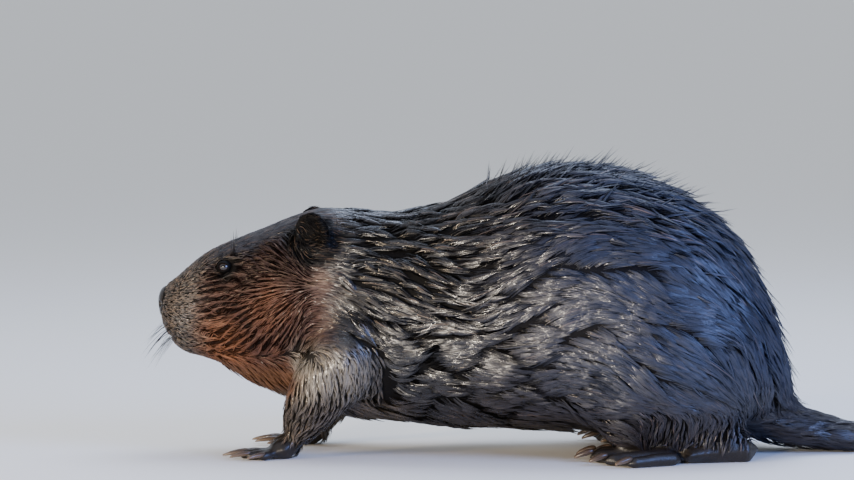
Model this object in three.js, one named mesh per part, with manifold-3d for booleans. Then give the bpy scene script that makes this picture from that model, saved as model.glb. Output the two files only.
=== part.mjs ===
// An adult North American beaver in a low crouch, life size: head held forward and down, back humped,
// haunches wide, all four feet flat on the floor and the broad tail laid out behind.
// Millimetres, +Z up. The animal faces -X and its left side is -Y. The floor is z = 0, and the
// origin is on the floor, under the middle of the model's box. The outer surface is the tips of
// the wet coat; the feet, the nose and the paddle of the tail are bare skin.

import * as THREE from "three";
import { mergeVertices } from "three/addons/utils/BufferGeometryUtils.js";
import Module from "manifold-3d";

// ---------------------------------------------------------------- driving dimensions

const GAP = 0.3; // air between two neighbouring solids
const BODY_RINGS = 36; // cross-sections from nose tip to rump
const BODY_SIDES = 20; // points round each cross-section
const SQUARENESS = 2.25; // exponent of the cross-sections: 2 is an ellipse

const EYE_RADIUS = 6;
const EYE_AT = { x: 64.5, z: 177.5 };
const EYE_DEPTH = 3.9; // how far the middle of the eyeball lies under the coat

const EAR_WIDTH = 37;
const EAR_HEIGHT = 42;
const EAR_THICKNESS = 10;
const EAR_AT = { x: 147, z: 211 };
const EAR_LIFT = 5; // how far the middle of the ear stands out from the coat
const EAR_TURN = THREE.MathUtils.degToRad(24); // how far the ear's opening faces forward
const EAR_LEAN = THREE.MathUtils.degToRad(10); // how far it leans out

const NOSE_PAD = { at: [-2, 0, 144], radii: [12, 18, 16.5] };
const NOSTRIL = { radius: 3.1, at: [3, 10.5, 142] };

const CLAW = { fore: { length: 17, radius: 2.6 }, hind: { length: 13, radius: 3.6 } };
const CLAW_SINK = 4; // how much of a claw is inside its toe
const CLAW_CLEARANCE = 1.2; // lowest point of a claw above the floor

// Stations along the body. top and low are the back and belly outlines, [x, z]; half is half the
// width there; widest is where the width lies between low (0) and top (1).
const BODY = [
  { name: "nose tip", top: [0, 143], low: [0, 143], half: 0, widest: 0.5 },
  { name: "nose pad", top: [1.4, 152], low: [1.6, 133], half: 12, widest: 0.5 },
  { name: "nose rim", top: [6, 158.5], low: [5.5, 122], half: 20.5, widest: 0.48 },
  { name: "upper lip", top: [15, 164.5], low: [11, 109], half: 28, widest: 0.44 },
  { name: "whisker pad", top: [30, 178.5], low: [24, 95], half: 34, widest: 0.42 },
  { name: "muzzle", top: [46, 191], low: [44, 89.5], half: 38, widest: 0.44 },
  { name: "eye", top: [64, 199.5], low: [63, 82], half: 43, widest: 0.46 },
  { name: "forehead", top: [84, 207.5], low: [84, 69], half: 51, widest: 0.46 },
  { name: "cheek", top: [106, 216], low: [106, 60], half: 60, widest: 0.46 },
  { name: "jaw corner", top: [128, 225.5], low: [127, 51], half: 67, widest: 0.47 },
  { name: "ear", top: [148, 233], low: [146, 43], half: 71, widest: 0.47 },
  { name: "back of head", top: [167, 235.5], low: [166, 36], half: 75, widest: 0.46 },
  { name: "nape", top: [205, 232], low: [198, 29], half: 83, widest: 0.44 },
  { name: "neck base", top: [246, 233.5], low: [238, 24], half: 95, widest: 0.43 },
  { name: "withers", top: [288, 248], low: [286, 20], half: 108, widest: 0.42 },
  { name: "ribs", top: [335, 268.5], low: [342, 18], half: 119, widest: 0.41 },
  { name: "hump", top: [398, 277], low: [405, 17], half: 127, widest: 0.4 },
  { name: "loin", top: [456, 267.5], low: [466, 16], half: 127, widest: 0.39 },
  { name: "hip", top: [512, 240], low: [522, 17], half: 118, widest: 0.39 },
  { name: "rump", top: [556, 202], low: [566, 21], half: 98, widest: 0.4 },
  { name: "buttock", top: [583, 152], low: [592, 28], half: 73, widest: 0.42 },
  { name: "under tail", top: [599, 102], low: [604, 37], half: 44, widest: 0.45 },
  { name: "rump tip", top: [606, 66], low: [606, 66], half: 0, widest: 0.5 },
];

// Soft swellings (by > 0) and hollows (by < 0) of the body, both sides alike: at = [x, y, z].
const FORMS = [
  { name: "cheek muscle", at: [112, 62, 128], reach: 34, by: 5 },
  { name: "brow", at: [60, 30, 190], reach: 13, by: 2.4 },
  { name: "eye socket", at: [56, 38, 176], reach: 12, by: -2.6 },
  { name: "whisker pad", at: [17, 25, 127], reach: 14, by: 2.6 },
  { name: "hollow behind the nose", at: [22, 20, 160], reach: 11, by: -1.8 },
  { name: "hollow under the cheek", at: [92, 46, 84], reach: 22, by: -3 },
  { name: "hollow behind the ear", at: [176, 66, 196], reach: 26, by: -4 },
  { name: "shoulder", at: [246, 92, 140], reach: 52, by: 7 },
  { name: "hollow behind the shoulder", at: [312, 112, 96], reach: 38, by: -6 },
  { name: "flank", at: [372, 126, 92], reach: 46, by: -4 },
];

// The tail: at = middle of the section, across and up = its half sizes.
const TAIL = [
  { name: "inside the rump", at: [544, 0, 50], across: 50, up: 36 },
  { name: "root", at: [596, 2, 27], across: 46, up: 26 },
  { name: "end of the fur", at: [640, 11, 15], across: 37, up: 16 },
  { name: "neck of the paddle", at: [684, 24, 9.5], across: 38, up: 12 },
  { name: "widening", at: [730, 42, 7.5], across: 50, up: 10 },
  { name: "broadest", at: [790, 68, 6], across: 60, up: 8 },
  { name: "narrowing", at: [846, 93, 5], across: 56, up: 6.5 },
  { name: "rounding to the tip", at: [888, 111, 4.2], across: 37, up: 5.4 },
  { name: "tip", at: [906, 119, 4], across: 12, up: 4.6 },
];
const TAIL_FUR_END = { x: 658, y: 16 };

// Legs, for the left side; the right side mirrors y. step moves a foot forward (-) or back (+).
const STEP = { left: { fore: -4, hind: 0 }, right: { fore: 18, hind: 10 } };
const FORE_LEG = [
  { at: [208, -62, 112], across: 39, up: 46 },
  { at: [178, -74, 86], across: 34, up: 38 },
  { at: [156, -73, 57], across: 27, up: 30 },
  { at: [143, -66, 34], across: 21, up: 22 },
  { at: [135, -61, 17], across: 16, up: 15 },
];
const HAUNCH = { at: [466, -88, 98], radii: [108, 52, 92], tilt: THREE.MathUtils.degToRad(16) };
const SHANK = [
  { at: [486, -92, 50], across: 36, up: 34 },
  { at: [524, -90, 34], across: 27, up: 27 },
  { at: [556, -87, 22], across: 21, up: 22 },
];

// Feet, each in its own frame: origin on the floor under the ankle, toes along -X.
const FORE_FOOT = {
  ankle: [138, -61],
  turn: 6,
  pad: [
    { at: [0, 0, 18], across: 15, up: 17 },
    { at: [-14, 0, 9], across: 18, up: 12 },
    { at: [-28, 0, 6], across: 19, up: 9 },
  ],
  toeRoot: [-24, 13],
  toes: [
    { spread: -34, length: 17, radius: 5.6 },
    { spread: -15, length: 29, radius: 6 },
    { spread: 0, length: 33, radius: 6.2 },
    { spread: 15, length: 29, radius: 6 },
    { spread: 36, length: 20, radius: 5.6 },
  ],
  web: 0,
  claw: CLAW.fore,
};
const HIND_FOOT = {
  ankle: [556, -86],
  turn: 5,
  pad: [
    { at: [10, 0, 12], across: 17, up: 17 },
    { at: [-30, 0, 10], across: 21, up: 14 },
    { at: [-72, 0, 7.5], across: 30, up: 11.5 },
  ],
  toeRoot: [-66, 25],
  toes: [
    { spread: -25, length: 64, radius: 7.6 },
    { spread: -12, length: 80, radius: 8.4 },
    { spread: 0, length: 88, radius: 9 },
    { spread: 12, length: 84, radius: 9 },
    { spread: 25, length: 70, radius: 8 },
  ],
  web: 0.95,
  claw: CLAW.hind,
};
const WEB = { low: 1, high: 4.6, dip: 0.84 }; // dip: how far the free edge is drawn in between toes

// ---------------------------------------------------------------- solids and cuts

const wasm = await Module();
wasm.setup();

function solidOf(geometry) {
  const bare = geometry.clone();
  bare.deleteAttribute("normal");
  bare.deleteAttribute("uv");
  const merged = mergeVertices(bare, 1e-3);
  return new wasm.Manifold(
    new wasm.Mesh({
      numProp: 3,
      vertProperties: merged.attributes.position.array,
      triVerts: new Uint32Array(merged.index.array),
    }),
  );
}

function geometryOf(solid) {
  const mesh = solid.getMesh();
  const geometry = new THREE.BufferGeometry();
  geometry.setAttribute("position", new THREE.BufferAttribute(mesh.vertProperties, 3));
  geometry.setIndex(new THREE.BufferAttribute(mesh.triVerts, 1));
  geometry.computeVertexNormals();
  return geometry;
}

function joined(solids) {
  return solids.reduce((all, next) => all.add(next));
}

function largest(solid) {
  return solid.decompose().sort((a, b) => b.volume() - a.volume())[0];
}

function middleX(solid) {
  const box = solid.boundingBox();
  return (box.min[0] + box.max[0]) / 2;
}

// Cuts a solid in two and returns [front part, rear part].
function split(solid, cutter) {
  const halves = solid.subtract(cutter).decompose();
  halves.sort((a, b) => b.volume() - a.volume());
  return halves.slice(0, 2).sort((a, b) => middleX(a) - middleX(b));
}

// A thin upright sheet across the body through (x, y, z), leaned by tilt and turned by yaw degrees.
function sheet([x, y, z], tilt, yaw = 0, size = 700) {
  const geometry = new THREE.BoxGeometry(GAP, size, size);
  geometry.rotateY(THREE.MathUtils.degToRad(tilt));
  geometry.rotateZ(THREE.MathUtils.degToRad(yaw));
  geometry.translate(x, y, z);
  return solidOf(geometry);
}

function aboveFloor(solid) {
  const depth = 100;
  const floor = new THREE.BoxGeometry(2000, 1000, depth);
  floor.translate(400, 0, -depth / 2);
  return solid.subtract(solidOf(floor));
}

// ---------------------------------------------------------------- shaping

// Moves each vertex out along its normal by amount(position).
function displaced(geometry, amount) {
  geometry.deleteAttribute("uv");
  geometry.deleteAttribute("normal");
  const merged = mergeVertices(geometry, 1e-3);
  merged.computeVertexNormals();
  const at = new THREE.Vector3();
  const out = new THREE.Vector3();
  const { position, normal } = merged.attributes;
  for (let i = 0; i < position.count; i++) {
    at.fromBufferAttribute(position, i);
    out.fromBufferAttribute(normal, i);
    at.addScaledVector(out, amount(at));
    position.setXYZ(i, at.x, at.y, at.z);
  }
  return merged;
}

const grown = (geometry, by) => displaced(geometry, () => by);

// A sphere whose vertices are moved to place(along, angle): along runs 0 to 1 from pole to pole.
function wrapped(sides, rings, place) {
  const geometry = new THREE.SphereGeometry(1, sides, rings);
  const { position, uv } = geometry.attributes;
  for (let i = 0; i < position.count; i++) {
    const point = place(1 - uv.getY(i), -uv.getX(i) * 2 * Math.PI);
    position.setXYZ(i, point.x, point.y, point.z);
  }
  return geometry;
}

const power = (value, exponent) => Math.sign(value) * Math.abs(value) ** exponent;

// Two outline curves share one parameter; the y of the upper one carries the half width,
// and the y of the lower one says how high that width lies.
const backLine = new THREE.CatmullRomCurve3(
  BODY.map((s) => new THREE.Vector3(s.top[0], s.half, s.top[1])),
);
const bellyLine = new THREE.CatmullRomCurve3(
  BODY.map((s) => new THREE.Vector3(s.low[0], s.widest * 100, s.low[1])),
);

function bodyPoint(along, angle) {
  const top = backLine.getPoint(along);
  const low = bellyLine.getPoint(along);
  const half = Math.max(top.y, 0);
  const widest = low.y / 100;
  const side = power(Math.cos(angle), 2 / SQUARENESS);
  const rise = power(Math.sin(angle), 2 / SQUARENESS);
  const share = widest + rise * (rise > 0 ? 1 - widest : widest);
  return new THREE.Vector3(
    low.x + (top.x - low.x) * share,
    half * side,
    low.z + (top.z - low.z) * share,
  );
}

function formsAt(point) {
  return FORMS.reduce((sum, { at, reach, by }) => {
    const apart = Math.hypot(point.x - at[0], Math.abs(point.y) - at[1], point.z - at[2]);
    return sum + by * Math.exp(-((apart / reach) ** 2));
  }, 0);
}

// A bent tube of elliptical section with domed ends. The sections stand across the line.
function tube(line, sides, rings) {
  const path = new THREE.CatmullRomCurve3(line.map((s) => new THREE.Vector3(...s.at)));
  const sizes = new THREE.CatmullRomCurve3(
    line.map((s) => new THREE.Vector3(s.across, s.up, 0)),
  );
  const length = path.getLength();
  const dome = (distance, radius) =>
    Math.sqrt(Math.max(0, 1 - (1 - Math.min(1, distance / radius)) ** 2));
  const first = Math.min(line[0].across, line[0].up);
  const last = Math.min(line.at(-1).across, line.at(-1).up);
  return wrapped(sides, rings, (along, angle) => {
    const share = (1 - Math.cos(Math.PI * along)) / 2;
    const size = sizes.getPoint(path.getUtoTmapping(share));
    const round = dome(share * length, first) * dome((1 - share) * length, last);
    const forward = path.getTangentAt(share);
    const across = new THREE.Vector3(0, 0, 1).cross(forward).normalize();
    const up = forward.clone().cross(across);
    return path
      .getPointAt(share)
      .addScaledVector(across, size.x * round * Math.cos(angle))
      .addScaledVector(up, size.y * round * Math.sin(angle));
  });
}

// ---------------------------------------------------------------- body

const bodyGeometry = displaced(wrapped(BODY_SIDES, BODY_RINGS, bodyPoint), formsAt);
const bodyMesh = new THREE.Mesh(bodyGeometry, new THREE.MeshBasicMaterial({ side: THREE.DoubleSide }));

// Where the coat is, on one side, at that length and height.
function coatY(x, z, side) {
  const ray = new THREE.Raycaster(new THREE.Vector3(x, side * 400, z), new THREE.Vector3(0, -side, 0));
  return ray.intersectObject(bodyMesh)[0].point.y;
}

// ---------------------------------------------------------------- eyes, ears and nose

function eyeball(side, radius) {
  const geometry = new THREE.SphereGeometry(radius, 8, 6);
  geometry.rotateX(Math.PI / 2);
  geometry.translate(EYE_AT.x, coatY(EYE_AT.x, EYE_AT.z, side) - side * EYE_DEPTH, EYE_AT.z);
  return solidOf(geometry);
}

// A shallow cup: an upright oval, hollowed from its open side.
function ear(side, body) {
  const oval = new THREE.SphereGeometry(1, 14, 6);
  oval.scale(EAR_WIDTH / 2, EAR_THICKNESS / 2, EAR_HEIGHT / 2);
  const hollow = new THREE.SphereGeometry(1, 10, 4);
  hollow.scale(EAR_WIDTH * 0.4, EAR_THICKNESS * 0.55, EAR_HEIGHT * 0.41);
  hollow.translate(0, side * EAR_THICKNESS * 0.42, 0);
  for (const geometry of [oval, hollow]) {
    geometry.rotateX(-side * EAR_LEAN);
    geometry.rotateZ(side * EAR_TURN);
    geometry.translate(EAR_AT.x, coatY(EAR_AT.x, EAR_AT.z, side) + side * EAR_LIFT, EAR_AT.z);
  }
  return largest(solidOf(oval).subtract(solidOf(hollow)).subtract(body));
}

function nostril(side) {
  const hole = new THREE.SphereGeometry(NOSTRIL.radius, 6, 4);
  const [x, y, z] = NOSTRIL.at;
  hole.scale(1.3, 0.8, 1);
  hole.rotateZ(side * 0.5);
  hole.translate(x, side * y, z);
  return solidOf(hole);
}

// The region of the bare nose pad.
function noseRegion(by) {
  const region = new THREE.SphereGeometry(1, 12, 6);
  region.scale(...NOSE_PAD.radii.map((radius) => radius + by));
  region.translate(...NOSE_PAD.at);
  return solidOf(region);
}

// The curved line of the closed mouth, seen from the side, as a thin cut through the muzzle, and
// the cut that parts the jaw from the throat.
function jawCut() {
  const line = new THREE.CatmullRomCurve3(
    [
      [-6, 112],
      [14, 110.5],
      [34, 109],
      [50, 103],
      [62, 92],
      [70, 64],
    ].map(([x, z]) => new THREE.Vector3(x, z, 0)),
  );
  const upper = line.getPoints(7);
  const outline = new THREE.Shape([
    ...upper.map((p) => new THREE.Vector2(p.x, p.y)),
    ...upper.reverse().map((p) => new THREE.Vector2(p.x - GAP, p.y - GAP)),
  ]);
  const cut = new THREE.ExtrudeGeometry(outline, { depth: 200, bevelEnabled: false });
  cut.rotateX(Math.PI / 2);
  cut.translate(0, 100, 0);
  return solidOf(cut);
}

// ---------------------------------------------------------------- legs and feet

const mirrored = (line, side) =>
  line.map((s) => ({ ...s, at: [s.at[0], -side * s.at[1], s.at[2]] }));

function haunch(side, by) {
  const geometry = new THREE.SphereGeometry(1, 12, 7);
  geometry.scale(...HAUNCH.radii);
  geometry.rotateY(HAUNCH.tilt);
  geometry.translate(HAUNCH.at[0], -side * HAUNCH.at[1], HAUNCH.at[2]);
  const shank = tube(mirrored(SHANK, side), 8, 6);
  return joined([geometry, shank].map((part) => solidOf(grown(part, by))));
}

const foreLeg = (side, by) => solidOf(grown(tube(mirrored(FORE_LEG, side), 10, 8), by));

// The line of one toe in the foot's frame: [root, knuckle, tip].
function toeLine(foot, toe, index) {
  const fan = THREE.MathUtils.degToRad(toe.spread);
  const [rootX, rootHalf] = foot.toeRoot;
  const rootY = ((index - 2) / 2) * rootHalf;
  const reach = (share) => [
    rootX - toe.length * share * Math.cos(fan),
    rootY + toe.length * share * Math.sin(fan),
  ];
  const { radius } = toe;
  return [
    { at: [...reach(0), radius * 0.75], across: radius, up: radius },
    { at: [...reach(0.5), radius * 0.8], across: radius * 0.9, up: radius * 0.95 },
    { at: [...reach(1), radius * 0.55], across: radius * 0.78, up: radius * 0.78 },
  ];
}

// A claw continues its toe and curves down towards the floor.
function clawLine(foot, toe, index, by) {
  const { length, radius } = foot.claw;
  const [, knuckle, tip] = toeLine(foot, toe, index);
  const forward = new THREE.Vector3(tip.at[0] - knuckle.at[0], tip.at[1] - knuckle.at[1], 0).normalize();
  const from = new THREE.Vector3(...tip.at).setZ(tip.up * 1.15);
  const low = CLAW_CLEARANCE + 1;
  const point = (along, z) => from.clone().addScaledVector(forward, along).setZ(z).toArray();
  return [
    { at: point(-CLAW_SINK, from.z), across: radius + by, up: radius * 0.9 + by },
    { at: point(length * 0.4, from.z - 0.2), across: radius * 0.9 + by, up: radius * 0.8 + by },
    { at: point(length * 0.75, (from.z + low) / 2), across: radius * 0.6 + by, up: radius * 0.5 + by },
    { at: point(length, low), across: 0.9 + by, up: 0.8 + by },
  ];
}

// The skin between the toes: a flat fan whose free edge dips between one toe and the next.
function web(foot) {
  const tips = foot.toes.map((toe, index) => {
    const [root, , tip] = toeLine(foot, toe, index);
    const at = (share) => [0, 1].map((k) => root.at[k] + (tip.at[k] - root.at[k]) * share);
    return { root: at(0), edge: at(foot.web) };
  });
  const shape = new THREE.Shape();
  shape.moveTo(...tips[0].root);
  shape.lineTo(...tips[0].edge);
  for (let i = 1; i < tips.length; i++) {
    const [a, b] = [tips[i - 1], tips[i]];
    const dip = [0, 1].map((k) => {
      const middle = (a.edge[k] + b.edge[k]) / 2;
      return middle * WEB.dip + ((a.root[k] + b.root[k]) / 2) * (1 - WEB.dip);
    });
    shape.quadraticCurveTo(...dip, ...b.edge);
  }
  shape.lineTo(...tips.at(-1).root);
  const geometry = new THREE.ExtrudeGeometry(shape, {
    depth: WEB.high - WEB.low,
    bevelEnabled: false,
    curveSegments: 3,
  });
  geometry.translate(0, 0, WEB.low);
  return solidOf(geometry);
}

// The flesh of a foot without its web, in the foot's own frame.
function footTubes(foot, side, by) {
  const lines = [foot.pad, ...foot.toes.map((toe, index) => toeLine(foot, toe, index))];
  return joined(lines.map((line) => solidOf(grown(tube(mirrored(line, side), 6, 4), by))));
}

// A foot and its claws, in the foot's own frame.
function footParts(foot, side) {
  const clawTubes = (by) =>
    foot.toes.map((toe, index) => solidOf(tube(mirrored(clawLine(foot, toe, index, by), side), 5, 3)));
  let flesh = footTubes(foot, side, 0);
  if (foot.web) {
    const fan = geometryOf(web(foot));
    if (side > 0) {
      fan.scale(1, -1, 1);
      fan.index.array.reverse();
    }
    flesh = flesh.add(solidOf(fan));
  }
  return { flesh: aboveFloor(flesh).subtract(joined(clawTubes(GAP))), claws: clawTubes(0) };
}

// ---------------------------------------------------------------- materials

const material = (color, roughness) => new THREE.MeshStandardMaterial({ color, roughness, metalness: 0 });
const WET_COAT = material(0x1b1714, 0.4);
const FACE_COAT = material(0x3a2318, 0.5);
const BARE_SKIN = material(0x161413, 0.5);
const SCALY_TAIL = material(0x23201e, 0.55);
const HORN = material(0x3b322a, 0.4);
const EYE = material(0x050404, 0.05);

// ---------------------------------------------------------------- the animal

const animal = new THREE.Group();

function show(name, solid, finish, parent = animal) {
  const mesh = new THREE.Mesh(geometryOf(solid), finish);
  mesh.name = name;
  parent.add(mesh);
  return mesh;
}

const SIDES = [
  { word: "left", side: -1 },
  { word: "right", side: 1 },
];

let body = solidOf(bodyGeometry);
const bodyWithAir = solidOf(grown(bodyGeometry, GAP));

for (const { word, side } of SIDES) {
  show(`eye_${word}`, eyeball(side, EYE_RADIUS), EYE);
  body = body.subtract(eyeball(side, EYE_RADIUS + GAP));
  show(`ear_${word}`, ear(side, bodyWithAir), WET_COAT);
  body = body.subtract(nostril(side));
}

for (const { word, side } of SIDES) {
  for (const [pair, foot, upper] of [
    ["fore", FORE_FOOT, foreLeg],
    ["hind", HIND_FOOT, haunch],
  ]) {
    const step = STEP[word][pair];
    const group = new THREE.Group();
    group.position.set(foot.ankle[0] + step, -side * foot.ankle[1], 0);
    group.rotation.z = THREE.MathUtils.degToRad(-side * foot.turn);
    animal.add(group);
    group.updateMatrix();
    const parts = footParts(foot, side);
    show(`${pair}_foot_${word}`, largest(parts.flesh), BARE_SKIN, group);
    parts.claws.forEach((claw, i) => show(`${pair}_claw_${word}_${i + 1}`, claw, HORN, group));

    const footWithAir = solidOf(geometryOf(footTubes(foot, side, GAP)).applyMatrix4(group.matrix));
    const shift = (solid) => solidOf(geometryOf(solid).translate(step, 0, 0));
    const limb = aboveFloor(shift(upper(side, 0))).subtract(footWithAir);
    show(`${pair}_leg_${word}`, largest(limb), WET_COAT);
    body = body.subtract(shift(upper(side, GAP))).subtract(footWithAir);
  }
}

const tailGeometry = tube(TAIL, 14, 16);
const tailWithAir = solidOf(grown(tailGeometry, GAP));
const [tailRoot, paddle] = split(
  aboveFloor(solidOf(tailGeometry)),
  sheet([TAIL_FUR_END.x, TAIL_FUR_END.y, 0], 0, 22, 200),
);
body = largest(body.subtract(tailWithAir));

const [jaw, skull] = split(largest(body.subtract(noseRegion(GAP))), jawCut());
const [head, behindHead] = split(skull, sheet([158, 0, 140], 14));
const [neck, trunk] = split(behindHead, sheet([236, 0, 130], 14));

show("nose", largest(body.intersect(noseRegion(0))), BARE_SKIN);
show("lower_jaw", jaw, FACE_COAT);
show("head", head, FACE_COAT);
show("neck", neck, WET_COAT);
show("trunk", trunk, WET_COAT);
show("tail_root", tailRoot, WET_COAT);
show("tail_paddle", paddle, SCALY_TAIL);

animal.updateMatrixWorld(true);
const box = new THREE.Box3().setFromObject(animal);
const model = new THREE.Group();
animal.position.set(-(box.min.x + box.max.x) / 2, -(box.min.y + box.max.y) / 2, -box.min.z);
model.add(animal);

export default model;
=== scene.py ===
# %% [markdown]
# # A beaver in a wet coat
# A still, life-size beaver, crouched low, just out of the water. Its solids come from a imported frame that
# says where every part is. This script gives them their looks: one skin over all the flesh, a coat of about
# ninety thousand hairs gathered in wet locks, eyes with lids, whiskers, claws and a scaly tail.
# The animal faces -X, its left side is -Y, and +Z is up. Everything is in metres.

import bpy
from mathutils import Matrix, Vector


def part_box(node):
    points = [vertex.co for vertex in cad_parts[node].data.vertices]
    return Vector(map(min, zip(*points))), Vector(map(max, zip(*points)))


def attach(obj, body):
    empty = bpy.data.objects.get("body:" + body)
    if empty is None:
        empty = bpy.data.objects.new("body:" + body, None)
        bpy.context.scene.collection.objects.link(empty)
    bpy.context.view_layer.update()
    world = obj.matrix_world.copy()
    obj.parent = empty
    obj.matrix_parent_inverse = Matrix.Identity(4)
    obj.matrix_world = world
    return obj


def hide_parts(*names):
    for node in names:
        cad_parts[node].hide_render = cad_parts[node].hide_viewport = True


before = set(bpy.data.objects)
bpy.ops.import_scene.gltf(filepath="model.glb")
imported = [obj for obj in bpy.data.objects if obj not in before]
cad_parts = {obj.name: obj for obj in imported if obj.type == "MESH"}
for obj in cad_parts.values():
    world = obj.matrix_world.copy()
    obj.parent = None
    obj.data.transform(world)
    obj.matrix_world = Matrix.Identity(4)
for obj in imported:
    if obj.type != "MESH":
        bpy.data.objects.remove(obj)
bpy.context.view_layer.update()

import math

import bmesh
import bpy
import numpy as np
from mathutils import Vector
from mathutils.bvhtree import BVHTree
from mathutils.kdtree import KDTree

bpy.ops.object.select_all(action="DESELECT")

# %% [markdown]
# ## Landmarks
# Whoever measures an animal does it back from the nose, up from the floor and out from the middle. So do all
# sizes here: `MM` is a millimetre, and `behind(points)`, `height(points)` and `outward(points)` say how many
# of them points lie behind the tip of the nose, above the floor and out from the middle. The eyes, ears and
# feet are asked of the frame. Typing their coordinates in would be the other way, but then they could
# disagree with the solids.

# %% Landmarks
MM = 0.001
SIDES = {"left": -1, "right": 1}
NOSE_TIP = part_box("nose")[0].x


def centre_of(node):
    low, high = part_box(node)
    return np.array((low + high) / 2)


def behind(points):
    return (points[:, 0] - NOSE_TIP) / MM


def height(points):
    return points[:, 2] / MM


def outward(points):
    return np.abs(points[:, 1]) / MM


def ramp(values, start, end):
    """Rises smoothly from 0 at the start to 1 at the end."""
    share = np.clip((values - start) / (end - start), 0, 1)
    return share * share * (3 - 2 * share)


def fall(values, start, end):
    """Falls smoothly from 1 at the start to 0 at the end."""
    return 1 - ramp(values, start, end)


def unit(vectors):
    return vectors / np.maximum(np.linalg.norm(vectors, axis=-1, keepdims=True), 1e-9)


EYES = {side: centre_of(f"eye_{side}") for side in SIDES}
EARS = {side: centre_of(f"ear_{side}") for side in SIDES}
print("left eye at", EYES["left"], "left ear at", EARS["left"])

# %% [markdown]
# ## One skin
# On the living animal a single skin runs over head, trunk, legs and tail. The solids are parted by thin gaps,
# so their copies are joined and wrapped by a voxel remesh, which closes every gap narrower than a voxel.
# Modelling the skin anew would be the other way, but it could drift from the solids. The facets are then
# smoothed away: strongly on the body, lightly on the face, and hardly at all on ears and feet.

# %% Join the flesh and remesh it
FLESH = ["nose", "lower_jaw", "head", "neck", "trunk", "tail_root", "tail_paddle"]
PAIRED = ("ear", "fore_leg", "hind_leg", "fore_foot", "hind_foot")
FLESH += [f"{part}_{side}" for side in SIDES for part in PAIRED]
VOXEL = 2.0 * MM


def link(name, data):
    piece = bpy.data.objects.new(name, data)
    bpy.context.scene.collection.objects.link(piece)
    return piece


def choose(piece):
    bpy.ops.object.select_all(action="DESELECT")
    piece.select_set(True)
    bpy.context.view_layer.objects.active = piece


def apply_modifier(piece, kind, **settings):
    choose(piece)
    modifier = piece.modifiers.new(kind.title(), kind)
    for key, value in settings.items():
        setattr(modifier, key, value)
    bpy.ops.object.modifier_apply(modifier=modifier.name)


def read(items, key, width=3, kind=float):
    """One property of all the points, faces or corners of a mesh, as rows of numbers."""
    flat = np.empty(len(items) * width, kind)
    items.foreach_get(key, flat)
    return flat.reshape(-1, width)


def points_of(piece):
    return read(piece.data.vertices, "co")


def normals_of(piece):
    return read(piece.data.vertices, "normal")


def middles_of(piece):
    return read(piece.data.polygons, "center")


def shade_smooth(piece):
    piece.data.polygons.foreach_set("use_smooth", np.ones(len(piece.data.polygons), bool))


def mesh_from(shape, name):
    mesh = bpy.data.meshes.new(name)
    shape.to_mesh(mesh)
    shape.free()
    return mesh


def move_points(piece, points):
    piece.data.vertices.foreach_set("co", points.ravel())
    piece.data.update()


def weigh(piece, name, weights):
    group = piece.vertex_groups.get(name) or piece.vertex_groups.new(name=name)
    steps = np.round(weights * 20).astype(int)
    for step in np.unique(steps):
        if step:
            group.add(np.flatnonzero(steps == step).tolist(), step / 20, "REPLACE")
    return name


joined = bmesh.new()
for node in FLESH:
    joined.from_mesh(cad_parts[node].data)
bmesh.ops.remove_doubles(joined, verts=joined.verts, dist=1e-6)
skin = link("skin", mesh_from(joined, "skin"))
apply_modifier(skin, "REMESH", mode="VOXEL", voxel_size=VOXEL)
print("skin after the remesh:", len(skin.data.polygons), "faces")

# %% Say where the skin is bare, and where it carries the coat
def inside(points, parts, margin):
    """Whether points are in the boxes of those parts of either side, from 1 to 0 over a margin round them."""
    shares = []
    for node in [f"{part}_{side}" for part in parts for side in SIDES]:
        low, high = (np.array(corner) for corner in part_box(node))
        apart = np.maximum(low - points, points - high).max(axis=1) / MM
        shares.append(fall(apart, 0, margin))
    return np.max(shares, axis=0)


def foot_share(points):
    return inside(points, ["fore_foot", "hind_foot"], 6) * fall(height(points), 14, 30)


def ear_share(points):
    return inside(points, ["ear"], 4) * ramp(outward(points), 42, 48)


def paddle_share(points):
    along = behind(points) - 0.4 * points[:, 1] / MM
    return ramp(along, 640, 668)


def nose_share(points):
    from_pad = (points - centre_of("nose")) / (np.array([12, 17, 15]) * MM)
    return fall(np.linalg.norm(from_pad, axis=1), 0.85, 1.1)


def coat_depth(points):
    back = behind(points)
    depth = 2.2 + 6.3 * ramp(back, 110, 250)
    depth = depth - 1.2 * fall(back, 6, 40)
    depth -= 1.5 * fall(height(points), 30, 70) * ramp(back, 150, 260)
    depth -= 3.0 * ramp(back, 600, 640)
    bare = np.maximum(foot_share(points), nose_share(points))
    depth *= 1 - bare
    depth = depth * (1 - ear_share(points)) + 0.3 * ear_share(points)
    depth = depth * (1 - paddle_share(points)) + 0.8 * paddle_share(points)
    return np.maximum(depth, 0) * MM


# %% Smooth the facets away and sink the skin under the coat
SMOOTHING_PASSES = {"body": 140, "face": 28, "fine": 4, "feet": 12}
PASSES_AFTER_SINKING = 12
KEPT_SHARE = 0.34

points = points_of(skin)
face = fall(behind(points), 120, 190)
fine = np.max([foot_share(points), ear_share(points), nose_share(points), 0.9 * paddle_share(points)], axis=0)
weigh(skin, "body", (1 - face) * (1 - fine))
weigh(skin, "face", face * (1 - fine))
weigh(skin, "fine", np.maximum(fine, 0.3))
weigh(skin, "feet", foot_share(points))
for part, passes in SMOOTHING_PASSES.items():
    apply_modifier(skin, "SMOOTH", factor=0.5, iterations=passes, vertex_group=part)
points = points_of(skin)
move_points(skin, points - normals_of(skin) * coat_depth(points)[:, None])
apply_modifier(skin, "SMOOTH", factor=0.5, iterations=PASSES_AFTER_SINKING, vertex_group="body")

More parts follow.
